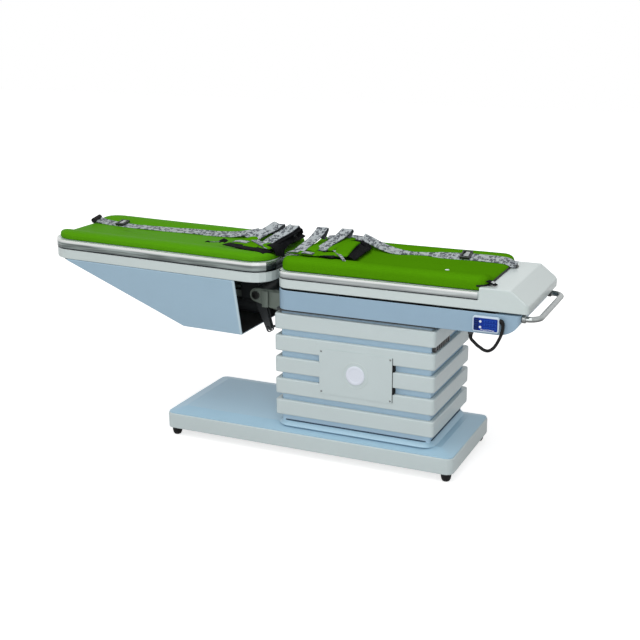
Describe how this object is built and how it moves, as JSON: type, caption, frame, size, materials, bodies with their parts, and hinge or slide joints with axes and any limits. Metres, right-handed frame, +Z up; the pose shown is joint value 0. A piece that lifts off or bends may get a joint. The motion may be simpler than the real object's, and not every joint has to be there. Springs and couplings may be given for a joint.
{
  "type": "traction table",
  "caption": "Long padded treatment table with a sliding chest section, a tilting and rolling leg section, a louvred column, a flat plinth, a push handle and a corded handset.",
  "frame": {"origin": "on the floor, under the middle of the table's length and width", "axes": "+X from the leg end to the head end with the push handle, +Y to the back, away from the handset, +Z up"},
  "size_m": [2.1388, 0.502, 0.8873],
  "materials": {
    "white_paint": "semi-gloss off-white paint",
    "blue_paint": "semi-gloss pale blue-grey paint",
    "grey_paint": "satin grey-green paint",
    "dark_steel": "satin black paint",
    "bright_steel": "brushed steel",
    "chrome_trim": "polished",
    "white_plastic": "glossy moulded shell",
    "pale_disc": "plain pale disc",
    "blue_membrane": "printed membrane, bare of words",
    "black_plastic": "matt black",
    "green_vinyl": "smooth green vinyl",
    "webbing": "woven grey-white webbing",
    "rubber": "black rubber"
  },
  "bodies": {
    "stand": {"base_skirt": "white_paint", "base_top": "blue_paint", "foot_front_left": "rubber", "foot_front_right": "rubber", "foot_back_left": "rubber", "foot_back_right": "rubber", "column_core": "blue_paint", "column_band_1": "white_paint", "column_band_2": "white_paint", "column_band_3": "white_paint", "column_band_4": "white_paint", "column_band_5": "white_paint", "badge_plate": "white_paint", "badge_disc": "pale_disc", "end_vent": "black_plastic", "head_plate": "dark_steel", "chest_housing": "blue_paint", "slide_rail_front": "bright_steel", "slide_rail_back": "bright_steel", "traction_actuator": "dark_steel", "pivot_bracket": "grey_paint", "pitch_pin": "bright_steel", "pitch_actuator": "dark_steel", "push_handle": "bright_steel", "handle_socket_front": "black_plastic", "handle_socket_back": "black_plastic", "handset_holder": "black_plastic", "handset": "white_plastic", "handset_keypad": "blue_membrane", "handset_cord": "rubber", "cord_gland": "black_plastic"},
    "chest_table": {"chest_tray": "white_plastic", "chest_trim": "chrome_trim", "chest_pad": "green_vinyl", "carriage_front_foot_end": "dark_steel", "carriage_front_head_end": "dark_steel", "carriage_back_foot_end": "dark_steel", "carriage_back_head_end": "dark_steel", "traction_rod": "bright_steel", "chest_strap": "webbing", "chest_buckle": "black_plastic", "chest_harness": "green_vinyl", "strap_anchor": "black_plastic"},
    "push_rod": {"pitch_rod": "bright_steel"},
    "yoke": {"leg_yoke": "dark_steel", "roll_gearmotor": "dark_steel"},
    "leg_table": {"roll_spindle": "bright_steel", "leg_subframe": "grey_paint", "leg_hull": "blue_paint", "leg_tray": "white_plastic", "leg_trim": "chrome_trim", "leg_pad": "green_vinyl", "leg_strap": "webbing", "leg_buckle": "black_plastic", "leg_harness": "green_vinyl", "strap_knob": "rubber", "foot_hook": "dark_steel"}
  },
  "joints": [
    {"name": "traction_slide", "type": "slide", "parent": "stand", "child": "chest_table", "axis": [1, 0, 0], "range_m": [0, 0.1]},
    {"name": "leg_pitch", "type": "hinge", "parent": "stand", "child": "yoke", "pos_m": [-0.12938, 0, 0.615], "axis": [0, 1, 0], "range_deg": [-20, 10]},
    {"name": "leg_roll", "type": "hinge", "parent": "yoke", "child": "leg_table", "pos_m": [-0.12938, 0, 0.615], "axis": [0.9998, 0, -0.0192], "range_deg": [-20, 20]},
    {"name": "pitch_rod_slide", "type": "slide", "parent": "stand", "child": "push_rod", "axis": [0.9468, 0, 0.3217], "range_m": [-0.028, 0.055]}
  ],
  "couplings": [
    {"joint": "pitch_rod_slide", "follows": "leg_pitch", "m_per_rad": -0.1515}
  ]
}
